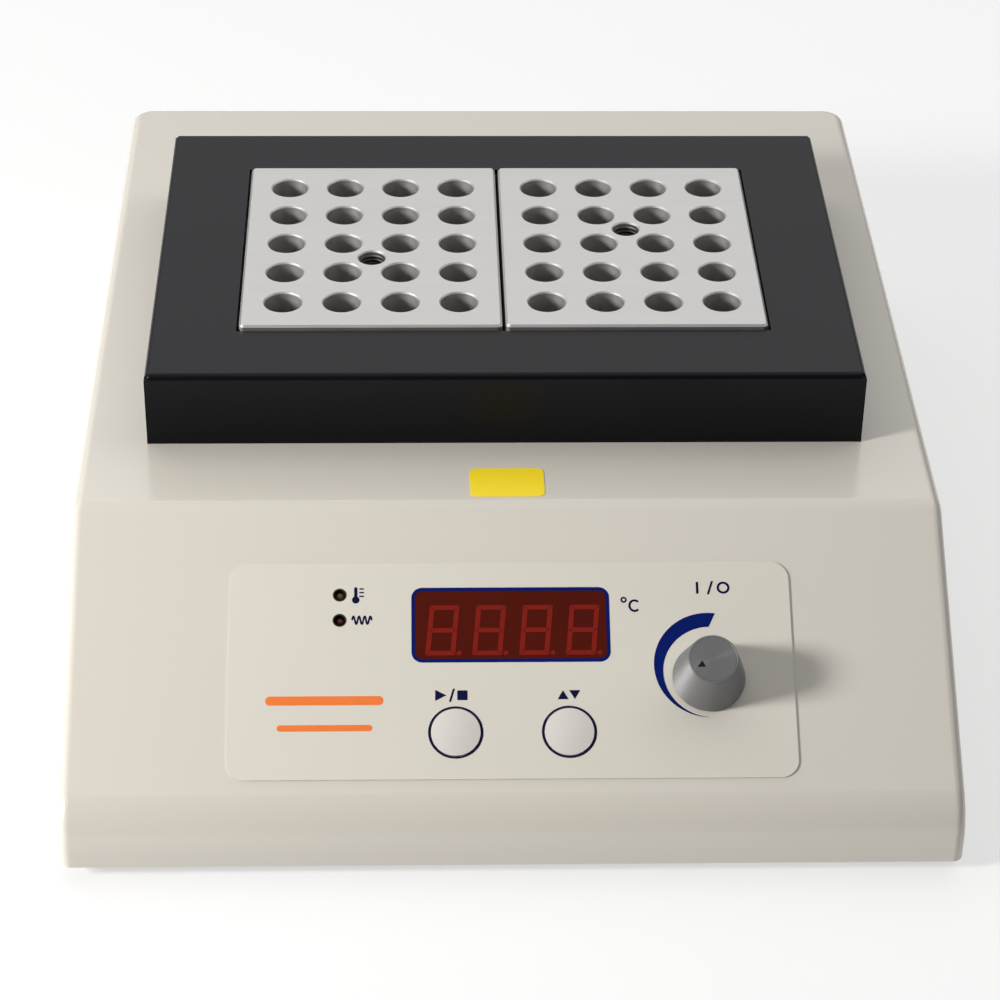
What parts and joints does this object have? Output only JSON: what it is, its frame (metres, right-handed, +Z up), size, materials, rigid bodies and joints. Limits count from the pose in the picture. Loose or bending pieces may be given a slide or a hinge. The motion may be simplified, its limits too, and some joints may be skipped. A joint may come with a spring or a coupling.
{
  "type": "dry block heater",
  "caption": "Bench-top dry block heater: a sloped-front housing with a red digital display, knob and push buttons, and lift-out aluminium blocks bored with rows of tube wells.",
  "frame": {"origin": "on the surface the feet stand on, under the middle of the housing", "axes": "+X to the user's right, +Y from the sloped front to the back, +Z up"},
  "size_m": [0.2442, 0.3196, 0.0906],
  "materials": {
    "housing": "satin",
    "surround": "satin",
    "block": "satin",
    "steel_sheet": "satin",
    "screw": "bright",
    "foot_rubber": "matte",
    "silicone": "matte",
    "insulation": "matte",
    "lead": "matte",
    "panel_print": "satin",
    "display_red": "polished",
    "module": "matte",
    "board": "satin",
    "light_amber": "polished",
    "light_red": "polished",
    "flat_cable": "satin",
    "black_plastic": "satin",
    "knob": "satin",
    "knob_metal": "spun",
    "transformer": "matte",
    "heatsink": "anodised",
    "capacitor": "glossy",
    "terminal": "satin",
    "contact": "bright",
    "fuse_glass": "polished",
    "button": "glossy"
  },
  "bodies": {
    "base": {"housing_shell": "housing", "base_plate": "steel_sheet", "foot_front_left": "foot_rubber", "foot_front_right": "foot_rubber", "foot_rear_left": "foot_rubber", "foot_rear_right": "foot_rubber", "foot_screws": "screw", "base_screws": "screw", "block_surround": "surround", "surround_screws": "screw", "heating_plate": "block", "well_liner": "steel_sheet", "heater_mat_left": "silicone", "heater_mat_right": "silicone", "insulation_base": "insulation", "insulation_collar": "insulation", "heater_tray": "steel_sheet", "tray_pillars": "steel_sheet", "pillar_screws": "screw", "temperature_probe": "screw", "thermal_cutout": "black_plastic", "heater_leads": "lead", "control_panel": "panel_print", "display_window": "display_red", "display_module": "module", "display_board": "board", "board_standoffs": "black_plastic", "board_screws": "screw", "hot_light": "light_amber", "heat_light": "light_red", "ribbon_cable": "flat_cable", "ribbon_headers": "black_plastic", "rotary_control": "steel_sheet", "rotary_washer": "screw", "rotary_nut": "contact", "power_board": "board", "power_standoffs": "contact", "power_screws": "screw", "transformer": "transformer", "triac_heatsink": "heatsink", "triac": "black_plastic", "mains_capacitor": "capacitor", "terminal_block": "terminal", "mains_inlet": "black_plastic", "inlet_screws": "screw", "inlet_pins": "contact", "start_switch": "black_plastic", "set_switch": "black_plastic"},
    "knob": {"control_knob": "knob", "knob_cap": "knob_metal", "rotary_shaft": "screw"},
    "start_key": {"start_button": "button", "start_plunger": "black_plastic"},
    "set_key": {"set_button": "button", "set_plunger": "black_plastic"},
    "left_block": {"block_left": "block"},
    "right_block": {"block_right": "block"},
    "fuse_tray": {"fuse_drawer": "black_plastic", "fuses": "fuse_glass"}
  },
  "joints": [
    {"name": "knob_turn", "type": "hinge", "parent": "base", "child": "knob", "pos_m": [0.0539, -0.12402, 0.03948], "axis": [0, 0.515, -0.8572], "range_deg": [-63, 121]},
    {"name": "start_press", "type": "slide", "parent": "base", "child": "start_key", "axis": [0, 0.515, -0.8572], "range_m": [0, 0.001], "stiffness_N_per_m": 400},
    {"name": "set_press", "type": "slide", "parent": "base", "child": "set_key", "axis": [0, 0.515, -0.8572], "range_m": [0, 0.001], "stiffness_N_per_m": 400},
    {"name": "left_block_lift", "type": "slide", "parent": "base", "child": "left_block", "axis": [0, 0, 1], "range_m": [0, 0.07]},
    {"name": "right_block_lift", "type": "slide", "parent": "base", "child": "right_block", "axis": [0, 0, 1], "range_m": [0, 0.07]},
    {"name": "fuse_tray_pull", "type": "slide", "parent": "base", "child": "fuse_tray", "axis": [0, 1, 0], "range_m": [0, 0.02]}
  ]
}
